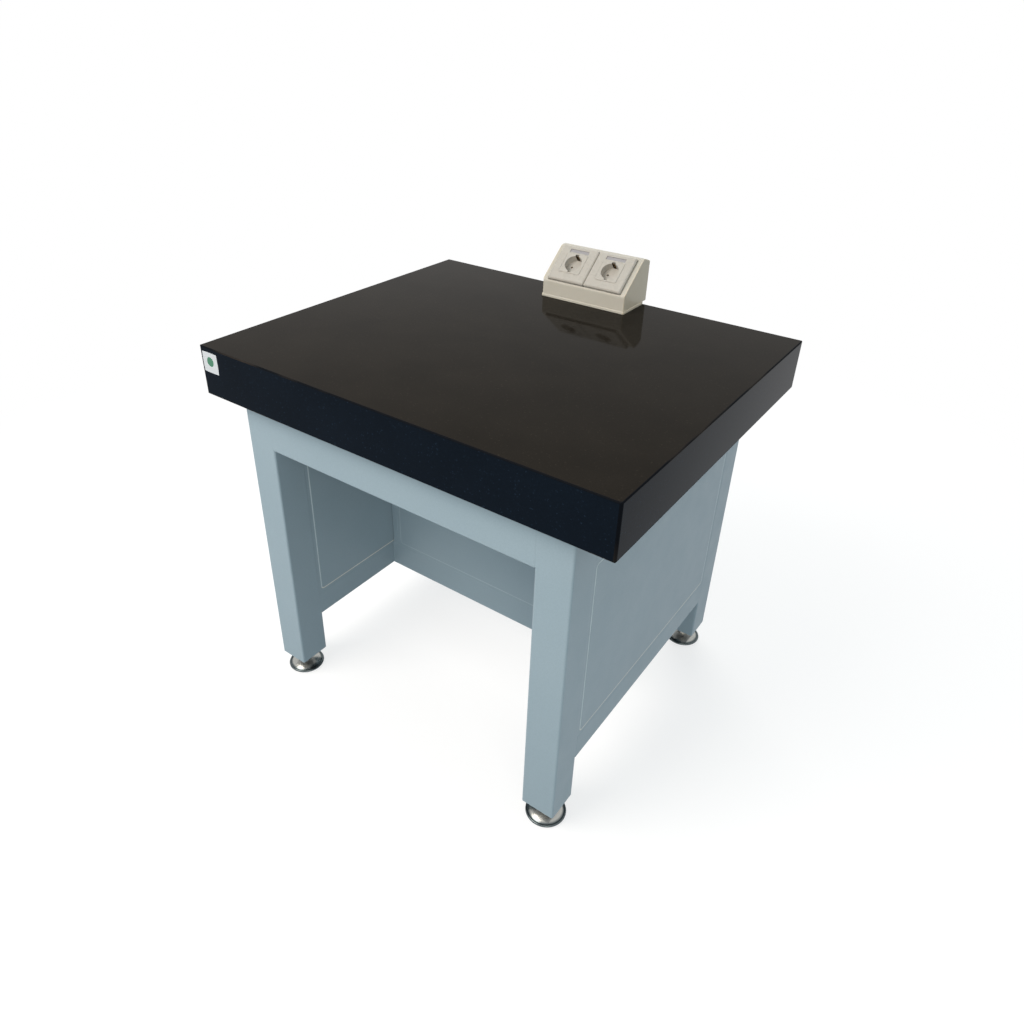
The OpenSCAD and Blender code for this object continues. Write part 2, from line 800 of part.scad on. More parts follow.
placed() granite_slab();
placed() leg(-1, -1);  // front_left_leg
placed() leg(1, -1);  // front_right_leg
placed() leg(-1, 1);  // rear_left_leg
placed() leg(1, 1);  // rear_right_leg
placed() apron(-1);  // front_apron
placed() apron(1);  // rear_apron
placed() top_rail(-1);  // left_top_rail
placed() top_rail(1);  // right_top_rail
placed() low_rail(-1);  // left_low_rail
placed() low_rail(1);  // right_low_rail
placed() middle_rail(apron_h, apron_low);  // middle_top_rail
placed() middle_rail(mid_rail_h, low_rail_lift);  // middle_low_rail
placed() middle_uprights();
placed() side_stop_frame(-1);  // left_stop_frame
placed() side_stop_frame(1);  // right_stop_frame
placed() middle_stop_frame();
placed() side_panel(-1, 0);  // left_outer_panel
placed() side_panel(-1, 1);  // left_inner_panel
placed() side_panel(1, 0);  // right_outer_panel
placed() side_panel(1, 1);  // right_inner_panel
placed() middle_panel(0);  // middle_front_panel
placed() middle_panel(1);  // middle_rear_panel
placed() side_beads(-1);  // left_beads
placed() side_beads(1);  // right_beads
placed() middle_beads();
placed() leg_top_plates();
placed() leg_foot_plates();
placed() damping_pads();
placed() translate([-leg_x, -leg_y, 0]) foot_disc();  // front_left_foot_disc
placed() translate([leg_x, -leg_y, 0]) foot_disc();  // front_right_foot_disc
placed() translate([-leg_x, leg_y, 0]) foot_disc();  // rear_left_foot_disc
placed() translate([leg_x, leg_y, 0]) foot_disc();  // rear_right_foot_disc
placed() translate([-leg_x, -leg_y, 0]) foot_sole();  // front_left_foot_sole
placed() translate([leg_x, -leg_y, 0]) foot_sole();  // front_right_foot_sole
placed() translate([-leg_x, leg_y, 0]) foot_sole();  // rear_left_foot_sole
placed() translate([leg_x, leg_y, 0]) foot_sole();  // rear_right_foot_sole
placed() translate([-leg_x, -leg_y, 0]) foot_stud();  // front_left_foot_stud
placed() translate([leg_x, -leg_y, 0]) foot_stud();  // front_right_foot_stud
placed() translate([-leg_x, leg_y, 0]) foot_stud();  // rear_left_foot_stud
placed() translate([leg_x, leg_y, 0]) foot_stud();  // rear_right_foot_stud
placed() lock_nuts();
placed() box_base();
placed() box_housing();
placed() cover_plate(-1);  // left_cover_plate
placed() cover_plate(1);  // right_cover_plate
placed() socket_insert(-1);  // left_socket_insert
placed() socket_insert(1);  // right_socket_insert
placed() socket_carriers();
placed() contact_tubes();
placed() earth_clips();
placed() label_cards();
placed() label_windows();
placed() base_screws();
placed() wall_plugs();
placed() cable_grommet();
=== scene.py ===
"""Looks of the weighing balance table, dressed over its packed construction model."""

import math

import bpy
import numpy as np
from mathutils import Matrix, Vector


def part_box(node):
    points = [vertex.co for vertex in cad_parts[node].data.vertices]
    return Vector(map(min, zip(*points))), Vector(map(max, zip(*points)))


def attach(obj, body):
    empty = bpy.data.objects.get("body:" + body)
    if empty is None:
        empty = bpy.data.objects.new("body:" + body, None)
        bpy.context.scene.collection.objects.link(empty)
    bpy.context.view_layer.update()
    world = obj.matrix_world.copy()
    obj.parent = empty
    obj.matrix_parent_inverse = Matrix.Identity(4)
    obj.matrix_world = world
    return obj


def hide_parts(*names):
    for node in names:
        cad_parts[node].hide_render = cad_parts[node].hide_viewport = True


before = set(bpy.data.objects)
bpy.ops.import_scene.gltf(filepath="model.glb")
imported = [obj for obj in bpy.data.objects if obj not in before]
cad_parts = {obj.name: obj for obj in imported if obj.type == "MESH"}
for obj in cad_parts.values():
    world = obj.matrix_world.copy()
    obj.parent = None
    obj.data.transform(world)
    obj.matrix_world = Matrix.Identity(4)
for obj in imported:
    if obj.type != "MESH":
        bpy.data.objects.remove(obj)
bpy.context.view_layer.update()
mm = 0.001


# Camera: stands in front of the table's right-hand corner and looks down on the worktop,
# about 1.36 m above the floor, with a slightly wide lens.
camera_place = Vector((0.82405, -1.20187, 1.35795))
camera_tilt, camera_roll, camera_turn = 59.05605, -1.02547, 36.16783
camera = bpy.data.objects.new("camera", bpy.data.cameras.new("camera"))
camera.location = camera_place
camera.rotation_euler = [math.radians(a) for a in (camera_tilt, camera_roll, camera_turn)]
camera.data.sensor_width, camera.data.lens = 36, 27.92114
camera.data.shift_x, camera.data.shift_y = 0.018084, -0.035281
camera.data.clip_start, camera.data.clip_end = 0.05, 200
bpy.context.scene.collection.objects.link(camera)
bpy.context.scene.camera = camera
bpy.context.scene.view_settings.view_transform = "Standard"


# Studio: a pale seamless floor, an even pale sky, one large soft lamp high in front on the left,
# a weaker one lower on the right and a broad one behind, which the polish doesn't mirror. The
# floor runs out into white a little way off.
def node(tree, kind, inputs={}, out=0, **settings):
    """Adds one shader node, sets it, feeds its inputs with values or with other nodes' outputs,
    and returns one of its outputs."""
    made = tree.nodes.new("ShaderNode" + kind)
    for key, value in settings.items():
        setattr(made, key, value)
    for key, value in inputs.items():
        if isinstance(value, bpy.types.NodeSocket):
            tree.links.new(value, made.inputs[key])
        else:
            made.inputs[key].default_value = value
    return made.outputs[out]


def seen_directly(tree):
    """1 for rays from the camera and for those mirrored in or passing through a surface."""
    path = tree.nodes.new("ShaderNodeLightPath")
    seen = path.outputs["Is Camera Ray"]
    for ray in ("Is Glossy Ray", "Is Transmission Ray"):
        seen = node(tree, "Math", {0: seen, 1: path.outputs[ray]}, operation="MAXIMUM")
    return seen


def sheet_mesh(name, points, closed_u=False, closed_v=False, caps=False):
    """Mesh of a grid of points, points[i, j] = (x, y, z), with a quad between each four
    neighbours, joined round in i or j where it is closed, and with flat lids on both ends."""
    rows, cols = points.shape[:2]
    i, j = np.meshgrid(np.arange(rows - (not closed_u)), np.arange(cols - (not closed_v)),
                       indexing="ij")
    i2, j2 = (i + 1) % rows, (j + 1) % cols
    quads = np.stack([i * cols + j, i * cols + j2, i2 * cols + j2, i2 * cols + j], -1)
    faces = quads.reshape(-1, 4).tolist()
    if caps:
        faces += [list(range(cols))[::-1], list(range((rows - 1) * cols, rows * cols))]
    mesh = bpy.data.meshes.new(name)
    mesh.from_pydata(points.reshape(-1, 3).tolist(), [], faces)
    mesh.validate()
    mesh.update()
    return mesh


floor_reach, fade_from, fade_to = 40.0, 0.8, 2.2
floor = bpy.data.objects.new("floor", sheet_mesh("floor", np.array(
    [[(x, y, 0.0) for y in (-floor_reach, floor_reach)] for x in (floor_reach, -floor_reach)])))
bpy.context.scene.collection.objects.link(floor)
floor_finish = bpy.data.materials.new("studio_floor")
floor_finish.use_nodes = True
tree = floor_finish.node_tree
tree.nodes.clear()
lit = node(tree, "BsdfDiffuse", {"Color": (0.36, 0.36, 0.36, 1)})
glow = node(tree, "Emission", {"Color": (1, 1, 1, 1), "Strength": 0.68})
shown = node(tree, "AddShader", {0: lit, 1: glow})
away = node(tree, "VectorMath", {0: node(tree, "TexCoord", out="Object")}, out="Value",
            operation="LENGTH")
away = node(tree, "MapRange", {"Value": away, "From Min": fade_from, "From Max": fade_to})
plain_white = node(tree, "Emission", {"Color": (1, 1, 1, 1), "Strength": 1.0})
shown = node(tree, "MixShader", {0: away, 1: shown, 2: plain_white})
bounced = node(tree, "BsdfDiffuse", {"Color": (0.21, 0.27, 0.32, 1)})
node_out = tree.nodes.new("ShaderNodeOutputMaterial")
tree.links.new(node(tree, "MixShader", {0: seen_directly(tree), 1: bounced, 2: shown}),
               node_out.inputs["Surface"])
floor.data.materials.append(floor_finish)

world = bpy.data.worlds.new("studio")
bpy.context.scene.world = world
world.use_nodes = True
tree = world.node_tree
tree.nodes.clear()
sky = node(tree, "Background", {"Color": (0.80, 0.93, 1.0, 1), "Strength": 0.55})
white = node(tree, "Background", {"Color": (1, 1, 1, 1), "Strength": 1.0})
node_out = tree.nodes.new("ShaderNodeOutputWorld")
tree.links.new(node(tree, "MixShader", {0: seen_directly(tree), 1: sky, 2: white}),
               node_out.inputs["Surface"])


def soft_lamp(name, place, aim, size, power, colour=(1, 1, 1)):
    """A square lamp of the given side, turned so that it faces the point aim."""
    lamp = bpy.data.objects.new(name, bpy.data.lights.new(name, "AREA"))
    lamp.data.shape, lamp.data.size, lamp.data.energy = "SQUARE", size, power
    lamp.data.color = colour
    lamp.location = place
    lamp.rotation_euler = (Vector(aim) - Vector(place)).to_track_quat("-Z", "Y").to_euler()
    bpy.context.scene.collection.objects.link(lamp)
    return lamp


soft_lamp("key_lamp", (-1.1, -2.2, 2.8), (0, 0, 0.5), 2.0, 88, (1.0, 0.925, 0.85))
soft_lamp("side_lamp", (2.0, -2.25, 1.5), (0, 0, 0.6), 1.6, 24, (1.0, 0.92, 0.80))
back_lamp = soft_lamp("back_lamp", (-1.3, 2.7, 2.2), (0, 0, 0.4), 2.4, 60, (1.0, 0.94, 0.87))
back_lamp.visible_glossy = False


# Worktop slab: one block of black granite with fine mica flecks, waxed and polished on its top
# and sides, with an arris rubbed matt by hand along the edges and a sawn underside. Its top is
# coloured a shade browner than its sides. It lies on the pads.
def new_finish(name, **sockets):
    """A material and its node tree, with plain values on the shader's own sockets."""
    material = bpy.data.materials.new(name)
    material.use_nodes = True
    shader = material.node_tree.nodes["Principled BSDF"]
    for socket, value in sockets.items():
        shader.inputs[socket.replace("_", " ")].default_value = value
    return material, material.node_tree, shader


def feed(tree, shader, **sockets):
    """Links node outputs to the shader's sockets."""
    for socket, value in sockets.items():
        tree.links.new(value, shader.inputs[socket.replace("_", " ")])


def ramp(tree, factor, stops):
    """A colour that runs through the stops (place, grey or colour) as factor goes from 0 to 1."""
    made = tree.nodes.new("ShaderNodeValToRGB")
    band = made.color_ramp.elements
    while len(band) < len(stops):
        band.new(0.5)
    for element, (place, colour) in zip(band, stops):
        element.position = place
        element.color = (*([colour] * 3 if isinstance(colour, (int, float)) else colour), 1)
    tree.links.new(factor, made.inputs[0])
    return made.outputs[0]


def mixed(tree, factor, a, b, how="MIX"):
    """Colour a turned towards b by factor, or joined to it in another way."""
    return node(tree, "Mix", {0: factor, 6: a, 7: b}, out=2, data_type="RGBA", blend_type=how)


def maths(tree, how, a, b=0.0):
    """One sum on one or two numbers."""
    return node(tree, "Math", {0: a, 1: b}, operation=how)


def where(tree):
    """Place on the piece in metres, and its x, y and z."""
    place = node(tree, "TexCoord", out="Object")
    parts = tree.nodes.new("ShaderNodeSeparateXYZ")
    tree.links.new(place, parts.inputs[0])
    return place, *parts.outputs[:3]


def cloud(tree, place, scale, detail=2.0, rough=0.5):
    """Soft noise with scale features to the metre."""
    return node(tree, "TexNoise", {"Vector": place, "Scale": scale, "Detail": detail,
                                   "Roughness": rough}, out="Fac")


def dress(material, *names):
    """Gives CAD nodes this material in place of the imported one."""
    for name in names:
        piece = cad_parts[name]
        for slot in piece.material_slots:
            slot.material = material
        if not piece.material_slots:
            piece.data.materials.append(material)


slab_low, slab_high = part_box("granite_slab")
slab_mid_y, slab_half_y = (slab_high.y + slab_low.y) / 2, (slab_high.y - slab_low.y) / 2
arris, corner, skin_depth = 2.4 * mm, 4.2 * mm, 0.3 * mm
stone, tree, shader = new_finish("polished_granite", IOR=1.078)
place, x, y, z = where(tree)
grain = node(tree, "TexVoronoi", {"Vector": place, "Scale": 480.0}, out="Color")
grain = node(tree, "SeparateColor", {0: grain})
is_top = maths(tree, "GREATER_THAN", z, slab_high.z - skin_depth)
mica = ramp(tree, grain, [(0.0, 0.90), (0.90, 1.0), (0.975, 1.25), (1.0, 2.5)])
mica = mixed(tree, maths(tree, "MULTIPLY", is_top, 0.6), mica, (1, 1, 1, 1))
fine = ramp(tree, cloud(tree, place, 700.0, 2.0), [(0.3, 0.88), (0.7, 1.12)])
speckle = mixed(tree, 1.0, mica, fine, "MULTIPLY")
drift = ramp(tree, cloud(tree, place, 9.0, 4.0), [(0.3, 0.88), (0.7, 1.12)])
speckle = mixed(tree, 1.0, speckle, drift, "MULTIPLY")
stone_tone = mixed(tree, is_top, (0.0044, 0.0080, 0.0138, 1), (0.0156, 0.0128, 0.0098, 1))
across = maths(tree, "ABSOLUTE", x)
along = maths(tree, "ABSOLUTE", maths(tree, "SUBTRACT", y, slab_mid_y))
edges = maths(tree, "ADD", maths(tree, "GREATER_THAN", across, slab_high.x - arris),
              maths(tree, "GREATER_THAN", along, slab_half_y - arris))
edges = maths(tree, "ADD", maths(tree, "GREATER_THAN", z, slab_high.z - arris), edges)
edges = maths(tree, "ADD", maths(tree, "LESS_THAN", z, slab_low.z + arris), edges)
corners = maths(tree, "MULTIPLY", maths(tree, "GREATER_THAN", across, slab_high.x - corner),
                maths(tree, "GREATER_THAN", along, slab_half_y - corner))
rubbed = maths(tree, "MAXIMUM", corners, maths(tree, "GREATER_THAN", edges, 1.5))
sawn = maths(tree, "LESS_THAN", z, slab_low.z + skin_depth / 3)
matt = maths(tree, "MAXIMUM", rubbed, sawn)
dusty = ramp(tree, cloud(tree, place, 5.0, 2.0), [(0.50, (0.0040, 0.0050, 0.0070)),
                                                  (0.70, (0.042, 0.033, 0.026))])
colour = mixed(tree, 1.0, speckle, mixed(tree, sawn, stone_tone, (0.056, 0.056, 0.055, 1)),
               "MULTIPLY")
colour = mixed(tree, rubbed, colour, dusty)
gloss = ramp(tree, cloud(tree, place, 14.0, 3.0), [(0.3, 0.045), (0.75, 0.085)])
gloss = mixed(tree, matt, gloss, (0.5, 0.5, 0.5, 1))
pits = node(tree, "TexVoronoi", {"Vector": place, "Scale": 240.0}, out="Distance")
pits = ramp(tree, pits, [(0.0, 0.0), (0.06, 1.0)])
saw_marks = cloud(tree, node(tree, "Mapping", {"Vector": place, "Scale": (1, 30, 1)}), 14.0)
relief = mixed(tree, sawn, pits, saw_marks)
bump = node(tree, "Bump", {"Strength": 0.05, "Distance": 0.1 * mm, "Height": relief})
feed(tree, shader, Base_Color=colour, Roughness=gloss, Normal=bump)
dress(stone, "granite_slab")


# Sticker: a small self-adhesive quality label on the slab's front-left corner, with a plain
# printed dot. Its film follows the polished face and lifts a little at one corner.
sticker_w, sticker_h = 42.5 * mm, 41.5 * mm
sticker_x, sticker_z = slab_low.x + 27.75 * mm, slab_high.z - 29.75 * mm
sticker_r, film, glue = 2.5 * mm, 0.12 * mm, 0.01 * mm
dot_r, dot_up = 9.5 * mm, 2 * mm
curl_from, curl_height = 0.62, 20 * film


def sticker_points(rings, spokes):
    """Rings of a rounded rectangle, from its middle to its rim: a point at angle a and share s
    lies at s times the outline. It stands film thick off the slab, falls to the slab in the
    last ring, and lifts by the square of how far it is past a line near the lower right
    corner."""
    a = np.linspace(0, 2 * np.pi, spokes, endpoint=False)
    core = np.array([sticker_w / 2 - sticker_r, sticker_h / 2 - sticker_r])
    # Outline: the core rectangle's point in direction a plus the corner's round
    d = np.stack([np.cos(a), np.sin(a)], -1)
    d = np.sign(d) * np.abs(d) ** 0.45
    d /= np.abs(d).max(-1, keepdims=True)
    flat = d * core
    rim = flat + sticker_r * d / np.linalg.norm(d, axis=-1, keepdims=True)
    s = np.concatenate([np.linspace(0.04, 1.0, rings), [1.0]])[:, None, None]
    across = s * rim[None]
    proud = np.where(np.arange(rings + 1) < rings, film, 0.0)[:, None] * np.ones(spokes)
    towards_corner = across[..., 0] / sticker_w - across[..., 1] / sticker_h
    curl = np.clip(towards_corner - curl_from, 0, 1) ** 2
    proud = proud + np.where(np.arange(rings + 1)[:, None] < rings, curl_height * curl, 0)
    return np.stack([sticker_x + across[..., 0], slab_low.y - proud - glue,
                     sticker_z + across[..., 1]], -1)


def add_piece(name, mesh, material, body, smooth_angle=None):
    """Puts a new piece into the scene with its material and body."""
    piece = bpy.data.objects.new(name, mesh)
    bpy.context.scene.collection.objects.link(piece)
    mesh.materials.append(material)
    if smooth_angle:
        mesh.shade_smooth()
        mesh.set_sharp_from_angle(angle=math.radians(smooth_angle))
    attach(piece, body)
    return piece


label_film, tree, shader = new_finish("printed_film", IOR=1.45)
place, x, y, z = where(tree)
off_x = maths(tree, "SUBTRACT", x, sticker_x)
off_z = maths(tree, "SUBTRACT", z, sticker_z + dot_up)
reach = maths(tree, "SQRT", maths(tree, "ADD", maths(tree, "MULTIPLY", off_x, off_x),
                                  maths(tree, "MULTIPLY", off_z, off_z)))
dot = maths(tree, "LESS_THAN", reach, dot_r)
paper = ramp(tree, cloud(tree, place, 900.0), [(0.3, (0.58, 0.60, 0.62)),
                                               (0.7, (0.64, 0.66, 0.68))])
ink = ramp(tree, cloud(tree, place, 1500.0), [(0.3, (0.030, 0.16, 0.085)),
                                              (0.7, (0.045, 0.20, 0.11))])
film_rough = ramp(tree, cloud(tree, place, 300.0), [(0.3, 0.30), (0.7, 0.38)])
feed(tree, shader, Base_Color=mixed(tree, dot, paper, ink), Roughness=film_rough)
sticker = sheet_mesh("quality_sticker", sticker_points(14, 72), closed_v=True, caps=True)
add_piece("quality_sticker", sticker, label_film, "table", 40)


# Frame and panels: square steel tube and folded sheet, welded, ground flush and powder coated
# in pale blue-grey as one piece, so the coat's faint orange peel runs over every joint.
paint, tree, shader = new_finish("blue_powder_coat", IOR=1.3)
place, x, y, z = where(tree)
tone = ramp(tree, cloud(tree, place, 5.0, 3.0), [(0.3, (0.315, 0.400, 0.449)),
                                                 (0.7, (0.333, 0.418, 0.467))])
fleck = ramp(tree, cloud(tree, place, 420.0, 1.0), [(0.35, 0.975), (0.65, 1.02)])
tone = mixed(tree, 1.0, tone, fleck, "MULTIPLY")
scuffed_low, scuffed_high = 40 * mm, 160 * mm
upright = node(tree, "Mapping", {"Vector": place, "Scale": (1, 1, 0.25)})
scuffs = ramp(tree, cloud(tree, upright, 60.0, 6.0, 0.7), [(0.60, 0.0), (0.72, 1.0)])
near_floor = node(tree, "MapRange", {"Value": z, "From Min": scuffed_low,
                                     "From Max": scuffed_high, "To Min": 0.35, "To Max": 0.0})
tone = mixed(tree, maths(tree, "MULTIPLY", scuffs, near_floor), tone, (0.20, 0.24, 0.26, 1))
sheen = ramp(tree, cloud(tree, place, 24.0, 4.0), [(0.3, 0.36), (0.7, 0.44)])
peel = cloud(tree, place, 300.0, 2.0, 0.4)
bump = node(tree, "Bump", {"Strength": 0.10, "Distance": 0.15 * mm, "Height": peel})
feed(tree, shader, Base_Color=tone, Roughness=sheen, Normal=bump)
dress(paint, *[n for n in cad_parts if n.endswith(("_leg", "_apron", "_rail", "_panel",
      "_stop_frame")) or n in ("middle_uprights", "leg_top_plates")])


# Sealing beads: a line of sealant drawn round each panel and smoothed by finger, a little below
# the faces. Their colour is a painted highlight: a paler blue than the coat, as if their rounded
# edges catch the light, and cream along the sides' lower runs, a painted warm highlight from
# the light above.
def bead_finish(name, dark, light, cream_highlight_below=0.0):
    """Sealant coloured as a painted highlight: two pale tones, and a cream painted highlight below
    a height.
    """
    material, tree, shader = new_finish(name, IOR=1.4)
    place, x, y, z = where(tree)
    dust = cloud(tree, place, 35.0, 5.0)
    # The pale blue tones and the cream below a height are painted highlights on the bead.
    pale_highlight = ramp(tree, dust, [(0.3, dark), (0.7, light)])
    cream_highlight = ramp(tree, dust, [(0.3, (0.71, 0.69, 0.61)), (0.7, (0.83, 0.81, 0.73))])
    finger = cloud(tree, place, 160.0, 3.0)
    bump = node(tree, "Bump", {"Strength": 0.25, "Distance": 0.4 * mm, "Height": finger})
    feed(tree, shader, Normal=bump, Roughness=ramp(tree, finger, [(0.2, 0.42), (0.8, 0.6)]),
         Base_Color=mixed(tree, maths(tree, "LESS_THAN", z, cream_highlight_below), pale_highlight, cream_highlight))
    return material


lower_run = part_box("right_beads")[0].z + 6 * mm
dress(bead_finish("side_sealant_painted_highlight", (0.56, 0.64, 0.66), (0.66, 0.74, 0.76), lower_run),
      "left_beads", "right_beads")
dress(bead_finish("middle_sealant_painted_highlight", (0.38, 0.46, 0.50), (0.44, 0.52, 0.56)), "middle_beads")


# Damping pads and soles: moulded black rubber with a dull skin, dusty in patches.
rubber, tree, shader = new_finish("black_rubber", Specular_IOR_Level=0.35)
place = where(tree)[0]
tone = ramp(tree, cloud(tree, place, 45.0, 5.0), [(0.35, (0.016, 0.016, 0.017)),
                                                  (0.75, (0.040, 0.039, 0.037))])
skin = cloud(tree, place, 1200.0, 3.0, 0.7)
bump = node(tree, "Bump", {"Strength": 0.35, "Distance": 0.1 * mm, "Height": skin})
feed(tree, shader, Base_Color=tone, Roughness=ramp(tree, skin, [(0.2, 0.62), (0.8, 0.85)]),
     Normal=bump)
dress(rubber, "damping_pads", "cable_grommet",
      *[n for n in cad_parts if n.endswith("_foot_sole")])


# Foot discs: pressed steel dishes with a rolled rim, nickel plated over fine turning marks,
# which run round each foot's own axis. Their rolled rims are painted dark, a painted reflection.
foot_low, foot_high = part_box("front_right_foot_disc")
foot_x, foot_y = (foot_low.x + foot_high.x) / 2, slab_mid_y - (foot_low.y + foot_high.y) / 2
nickel, tree, shader = new_finish("nickel_plate", Metallic=1.0)
place, x, y, z = where(tree)
off_x = maths(tree, "SUBTRACT", maths(tree, "ABSOLUTE", x), foot_x)
off_y = maths(tree, "ABSOLUTE", maths(tree, "SUBTRACT", y, slab_mid_y))
off_y = maths(tree, "SUBTRACT", off_y, foot_y)
reach = maths(tree, "SQRT", maths(tree, "ADD", maths(tree, "MULTIPLY", off_x, off_x),
                                  maths(tree, "MULTIPLY", off_y, off_y)))
rings = node(tree, "TexNoise", {"W": reach, "Scale": 1700.0, "Detail": 3.0}, out="Fac",
             noise_dimensions="1D")
stain = cloud(tree, place, 70.0, 5.0, 0.6)
tone = ramp(tree, stain, [(0.3, (0.36, 0.365, 0.345)), (0.7, (0.44, 0.442, 0.415))])
# The rolled rim is painted dark bluish grey: a painted dark reflection.
rim_painted_reflection = ramp(tree, maths(tree, "DIVIDE", reach, (foot_high.x - foot_low.x) / 2),
              [(0.78, 0.0), (0.86, 1.0)])
tone = mixed(tree, rim_painted_reflection, tone, (0.095, 0.115, 0.120, 1))
bump = node(tree, "Bump", {"Strength": 0.12, "Distance": 0.1 * mm, "Height": rings})
feed(tree, shader, Base_Color=tone, Normal=bump,
     Roughness=ramp(tree, stain, [(0.3, 0.16), (0.7, 0.30)]))
dress(nickel, *[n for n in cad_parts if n.endswith("_foot_disc")])


# Foot studs: M16 studs in zinc-plated steel with a hexagon for the spanner, riveted so that
# they turn in the disc's hub. The thread runs up through the lock nut into the leg's bush.
rivet_low, rivet_top, hub_top = 3.6 * mm, 6.45 * mm, 17 * mm
hex_top, stud_top = 24 * mm, 109 * mm
rivet_r, spigot_r, thread_r, pitch, hex_flats = 9.6 * mm, 6 * mm, 8 * mm, 2 * mm, 24 * mm
thread_depth, undercut, crest_share = 0.6 * pitch, 1.5 * mm, 0.12
rivet_edge, hex_edge, hex_slope, lid_r = 0.4 * mm, 0.25 * mm, 1.9, 0.5 * mm


def stud_points(rows_per_turn, spokes):
    """Radius of the stud at height z and angle a. Round parts follow their own radius. The
    hexagon is half its flats divided by the cosine of the angle to the nearest flat, cut off
    by a cone at both ends. The thread takes off its depth times a trapezium wave of
    z / pitch - a / full turn, fading in above the hexagon and out at the tip."""
    a = np.linspace(0, 2 * np.pi, spokes, endpoint=False)
    hex_z = np.array([0, 0.35, 0.8, 1.4, 3.5, 5.6, 6.2, 6.65, 7.0]) * mm + hub_top
    screw_z = np.arange(hex_top, stud_top + pitch / rows_per_turn / 2, pitch / rows_per_turn)
    z = np.concatenate([[rivet_low, rivet_low, rivet_low + rivet_edge, rivet_top, rivet_top,
                         hub_top, hub_top], hex_z, screw_z, [stud_top]])
    plain = np.concatenate([[lid_r, rivet_r - rivet_edge, rivet_r, rivet_r, spigot_r,
                             spigot_r, spigot_r], np.zeros(len(hex_z)),
                            np.full(len(screw_z), thread_r), [lid_r]])
    r = plain[:, None] * np.ones(spokes)
    is_hex = (plain == 0)[:, None]
    flat_turn = (a + np.pi / 6) % (np.pi / 3) - np.pi / 6
    flats = hex_flats / 2 / np.cos(flat_turn)
    depth_in = np.minimum(z - hub_top, hex_top - z)[:, None]
    cone = hex_flats / 2 - hex_edge + hex_slope * depth_in
    r = np.where(is_hex, np.minimum(flats[None], cone), r)
    is_screw = ((plain == thread_r) & (z >= hex_top))[:, None]
    wave = 2 * np.abs((z[:, None] / pitch - a[None] / (2 * np.pi)) % 1 - 0.5)
    wave = np.clip((wave - crest_share) / (1 - 2 * crest_share), 0, 1)
    fade = np.clip((z - hex_top - undercut * 0.4) / undercut, 0, 1)[:, None]
    tip = np.clip((z - (stud_top - pitch)) / pitch, 0, 1)[:, None] * thread_depth
    cut = np.maximum(thread_depth * (wave * fade + (1 - fade) * 0.9), tip)
    r = np.where(is_screw, thread_r - cut, r)
    return np.stack([r * np.cos(a), r * np.sin(a), z[:, None] * np.ones(spokes)], -1)


zinc, tree, shader = new_finish("zinc_plated_steel", Metallic=1.0)
place = where(tree)[0]
patina = cloud(tree, place, 180.0, 5.0, 0.6)
tone = ramp(tree, patina, [(0.3, (0.44, 0.45, 0.47)), (0.7, (0.58, 0.585, 0.59))])
bump = node(tree, "Bump", {"Strength": 0.15, "Distance": 0.1 * mm,
                           "Height": cloud(tree, place, 900.0, 2.0)})
feed(tree, shader, Base_Color=tone, Normal=bump,
     Roughness=ramp(tree, patina, [(0.3, 0.26), (0.7, 0.42)]))
dress(zinc, "lock_nuts", "leg_foot_plates", "socket_carriers", "base_screws")
stud_shape = stud_points(10, 48)
for foot, sx, sy in (("front_left", -1, -1), ("front_right", 1, -1), ("rear_left", -1, 1),
                     ("rear_right", 1, 1)):
    name = f"{foot}_threaded_stud"
    points = stud_shape + np.array([sx * foot_x, slab_mid_y + sy * foot_y, 0])
    stud = add_piece(name, sheet_mesh(name, points, closed_v=True, caps=True), zinc,
                     f"{foot}_stud", 35)
    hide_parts(f"{foot}_foot_stud")


# Socket box: a housing and base moulded in warm beige plastic with a fine spark-eroded grain,
# snapped together on the rear edge of the slab. Its end walls are painted lighter and yellower,
# a painted warm light from the side.
def moulded(name, dark, light, low_rough, high_rough, grain_scale, grain_depth):
    """Coloured plastic: two tones that drift over the piece, and a fine moulded grain."""
    material, tree, shader = new_finish(name, IOR=1.4, Subsurface_Weight=0.3,
                                        Subsurface_Radius=(1.0, 0.9, 0.8),
                                        Subsurface_Scale=2.5 * mm)
    place = where(tree)[0]
    tone = ramp(tree, cloud(tree, place, 18.0, 3.0), [(0.3, dark), (0.7, light)])
    grain = cloud(tree, place, grain_scale, 2.0, 0.6)
    bump = node(tree, "Bump", {"Strength": grain_depth, "Distance": 0.05 * mm, "Height": grain})
    rough = ramp(tree, cloud(tree, place, 60.0, 4.0), [(0.3, low_rough), (0.7, high_rough)])
    feed(tree, shader, Base_Color=tone, Roughness=rough, Normal=bump)
    return material


housing_plastic = moulded("beige_housing_plastic", (0.508, 0.476, 0.410), (0.526, 0.494, 0.428),
                          0.36, 0.46, 1600.0, 0.30)
housing_low, housing_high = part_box("box_housing")
housing_mid_x = (housing_low.x + housing_high.x) / 2
housing_half_w, painted_light_reach = (housing_high.x - housing_low.x) / 2, 3 * mm
tree = housing_plastic.node_tree
shader = tree.nodes["Principled BSDF"]
plain_tone = shader.inputs["Base Color"].links[0].from_socket
# Near both end walls the beige turns lighter and yellower: painted warm light from the side.
aside = maths(tree, "ABSOLUTE", maths(tree, "SUBTRACT", where(tree)[1], housing_mid_x))
end_wall_painted_light = node(tree, "MapRange", {"Value": aside, "From Min": housing_half_w - painted_light_reach,
                                   "From Max": housing_half_w})
feed(tree, shader, Base_Color=mixed(tree, end_wall_painted_light, plain_tone, (0.640, 0.565, 0.440, 1)))
dress(housing_plastic, "box_housing", "box_base")
